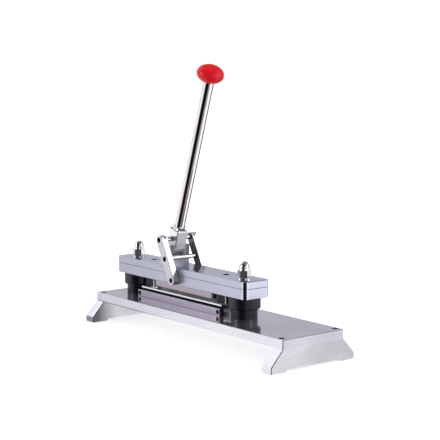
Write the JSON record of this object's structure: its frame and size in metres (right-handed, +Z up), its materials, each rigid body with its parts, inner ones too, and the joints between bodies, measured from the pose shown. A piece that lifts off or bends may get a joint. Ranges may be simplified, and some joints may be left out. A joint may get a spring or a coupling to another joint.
{
  "type": "lever bar press",
  "caption": "Hand lever press: a red-knobbed lever with side links drives a guided beam and press bar down between columns onto a railed die on a footed base plate.",
  "frame": {"origin": "centre of the footprint on the resting plane, under the middle of the base plate", "axes": "+X along the base plate towards its open end, which is also the way the lever is pulled; +Y across the plate to the rear; +Z up"},
  "size_m": [0.4, 0.136, 0.363],
  "materials": {
    "polished_steel": "mirror-polished top with softly brushed edges",
    "satin_aluminium": "satin machined",
    "ground_steel": "surface ground with a lengthwise grain",
    "satin_steel": "satin machined with bright edges",
    "black_oxide": "black oxide screw finish",
    "ground_shaft": "ground shaft",
    "black_sleeve": "black oxide turned, semi-gloss",
    "bronze": "sintered bronze",
    "spring_steel": "oiled spring wire",
    "chrome": "polished chrome plate",
    "bright_rail": "bright ground edge",
    "dark_tool_steel": "blackened tool steel",
    "tool_steel": "ground tool steel, slightly warm",
    "red_plastic": "glossy red moulded plastic"
  },
  "bodies": {
    "frame": {"base_plate": "polished_steel", "left_foot": "satin_aluminium", "right_foot": "satin_aluminium", "foot_screws": "black_oxide", "post_screws": "black_oxide", "left_post": "ground_shaft", "right_post": "ground_shaft", "left_guide_sleeve": "black_sleeve", "right_guide_sleeve": "black_sleeve", "left_return_spring": "spring_steel", "right_return_spring": "spring_steel", "beam_upper_plate": "ground_steel", "stop_screws": "black_oxide", "left_washer": "chrome", "right_washer": "chrome", "left_cap_nut": "chrome", "right_cap_nut": "chrome", "lever_block": "ground_steel", "lever_block_screws": "black_oxide", "lever_pivot_pin": "ground_shaft", "lower_die_block": "dark_tool_steel", "lower_die_screws": "black_oxide", "front_die_rail": "bright_rail", "rear_die_rail": "bright_rail", "rail_dowels": "ground_shaft", "front_die_bar": "tool_steel", "die_bar_screws": "black_oxide"},
    "press_beam": {"beam_lower_plate": "ground_steel", "left_guide_collar": "black_sleeve", "right_guide_collar": "black_sleeve", "left_guide_bush": "bronze", "right_guide_bush": "bronze", "upper_press_bar": "tool_steel", "press_bar_screws": "black_oxide", "left_guide_block": "dark_tool_steel", "right_guide_block": "dark_tool_steel", "guide_block_screws": "black_oxide", "link_pivot_screws": "black_oxide"},
    "links": {"front_link": "satin_steel", "rear_link": "satin_steel", "fulcrum_shaft": "chrome", "tie_shaft": "chrome", "link_set_screws": "black_oxide"},
    "lever": {"lever_head": "satin_steel", "lever_rod": "chrome", "rod_lock_nut": "chrome", "lever_knob": "red_plastic"}
  },
  "joints": [
    {"name": "lever_swing", "type": "hinge", "parent": "frame", "child": "lever", "pos_m": [-0.08099, 0, 0.10778], "axis": [0, 1, 0], "range_deg": [0, 30]},
    {"name": "press_slide", "type": "slide", "parent": "frame", "child": "press_beam", "axis": [0, 0, -1], "range_m": [0, 0.00892], "stiffness_N_per_m": 10000, "springref_m": -0.006, "deforming": ["left_return_spring", "right_return_spring"]},
    {"name": "link_swing", "type": "hinge", "parent": "press_beam", "child": "links", "pos_m": [-0.0483, 0, 0.0745], "axis": [0, 1, 0], "range_deg": [0, 9.33]}
  ],
  "couplings": [
    {"joint": "press_slide", "follows": "lever_swing", "m_per_rad": 0.017036},
    {"joint": "link_swing", "follows": "lever_swing", "ratio": 0.31105}
  ]
}
